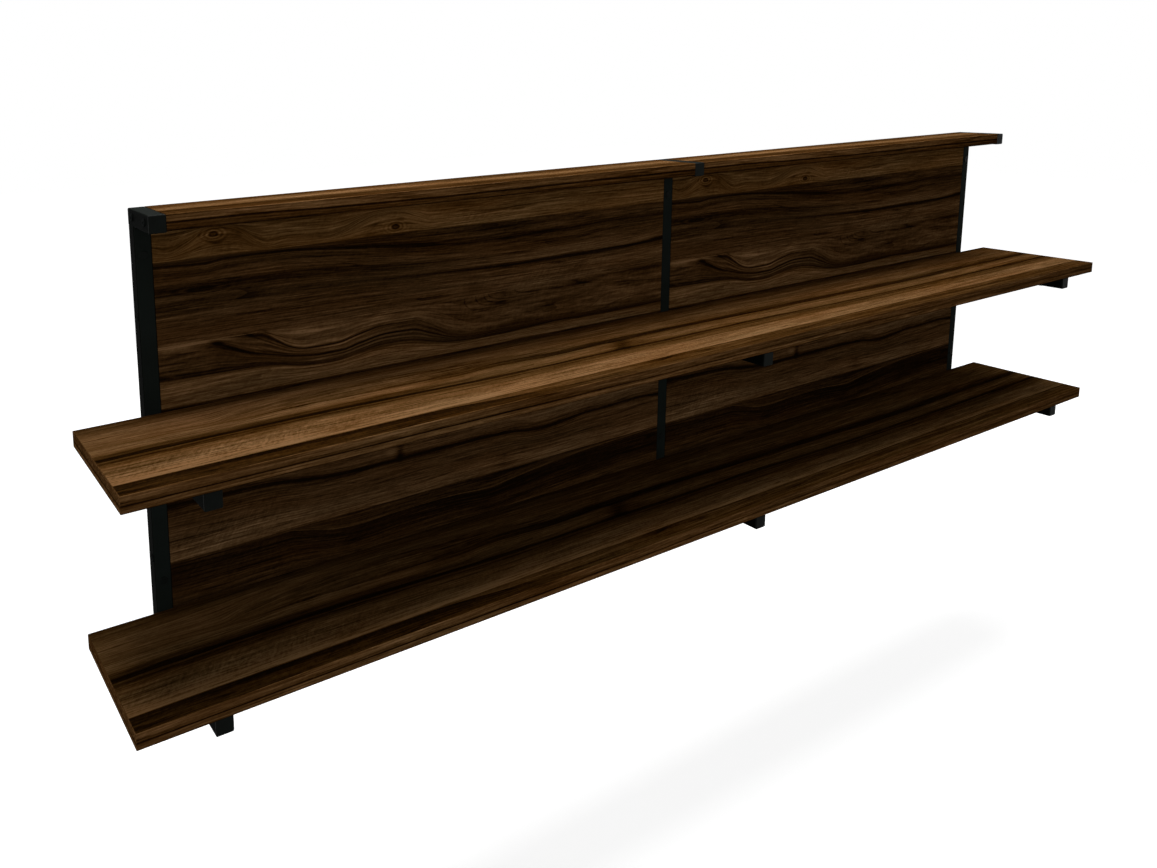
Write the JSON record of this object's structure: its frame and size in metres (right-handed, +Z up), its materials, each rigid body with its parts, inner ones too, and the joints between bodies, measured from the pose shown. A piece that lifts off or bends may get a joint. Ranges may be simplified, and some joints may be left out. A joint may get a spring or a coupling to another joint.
{
  "type": "shelving unit",
  "caption": "Wall-hung shelving unit: long walnut shelves and a cap board on a black square-tube steel frame with walnut back panels.",
  "frame": {"origin": "centre of the wall fixing pattern, on the wall plane behind the uprights", "axes": "+X along the shelves to the right as seen from the front, +Y back into the wall, +Z up; the front faces -Y"},
  "size_m": [2.8, 0.323, 0.7984],
  "materials": {
    "walnut": "dark walnut veneered board with a clear satin lacquer",
    "walnut_edge_band": "walnut edge band, satin",
    "black_powder_coat": "fine matt black powder coat",
    "black_plastic": "fine-textured black polyethylene",
    "black_bolt_steel": "black oxide",
    "zinc_plated_steel": "bright zinc",
    "steel_dowel": "plain ground steel"
  },
  "bodies": {
    "root": {"left_upright": "black_powder_coat", "left_top_arm": "black_powder_coat", "left_mid_arm": "black_powder_coat", "left_lower_arm": "black_powder_coat", "centre_upright": "black_powder_coat", "centre_top_arm": "black_powder_coat", "centre_mid_arm": "black_powder_coat", "centre_lower_arm": "black_powder_coat", "right_upright": "black_powder_coat", "right_top_arm": "black_powder_coat", "right_mid_arm": "black_powder_coat", "right_lower_arm": "black_powder_coat", "left_back_panel": "walnut", "left_top_board": "walnut", "right_back_panel": "walnut", "right_top_board": "walnut", "mid_shelf": "walnut", "mid_shelf_edge_bands": "walnut_edge_band", "mid_shelf_bolts": "black_bolt_steel", "mid_shelf_insert_nuts": "zinc_plated_steel", "lower_shelf": "walnut", "lower_shelf_edge_bands": "walnut_edge_band", "lower_shelf_bolts": "black_bolt_steel", "lower_shelf_insert_nuts": "zinc_plated_steel", "top_board_edge_bands": "walnut_edge_band", "panel_bolts": "black_bolt_steel", "panel_insert_nuts": "zinc_plated_steel", "panel_dowels": "steel_dowel", "top_board_bolts": "black_bolt_steel", "top_board_insert_nuts": "zinc_plated_steel", "top_board_dowels": "steel_dowel", "mid_arm_caps": "black_plastic", "lower_arm_caps": "black_plastic", "top_arm_front_caps": "black_plastic", "top_arm_rear_caps": "black_plastic", "upright_foot_caps": "black_plastic", "wall_fixing_plugs": "black_plastic"}
  },
  "joints": []
}
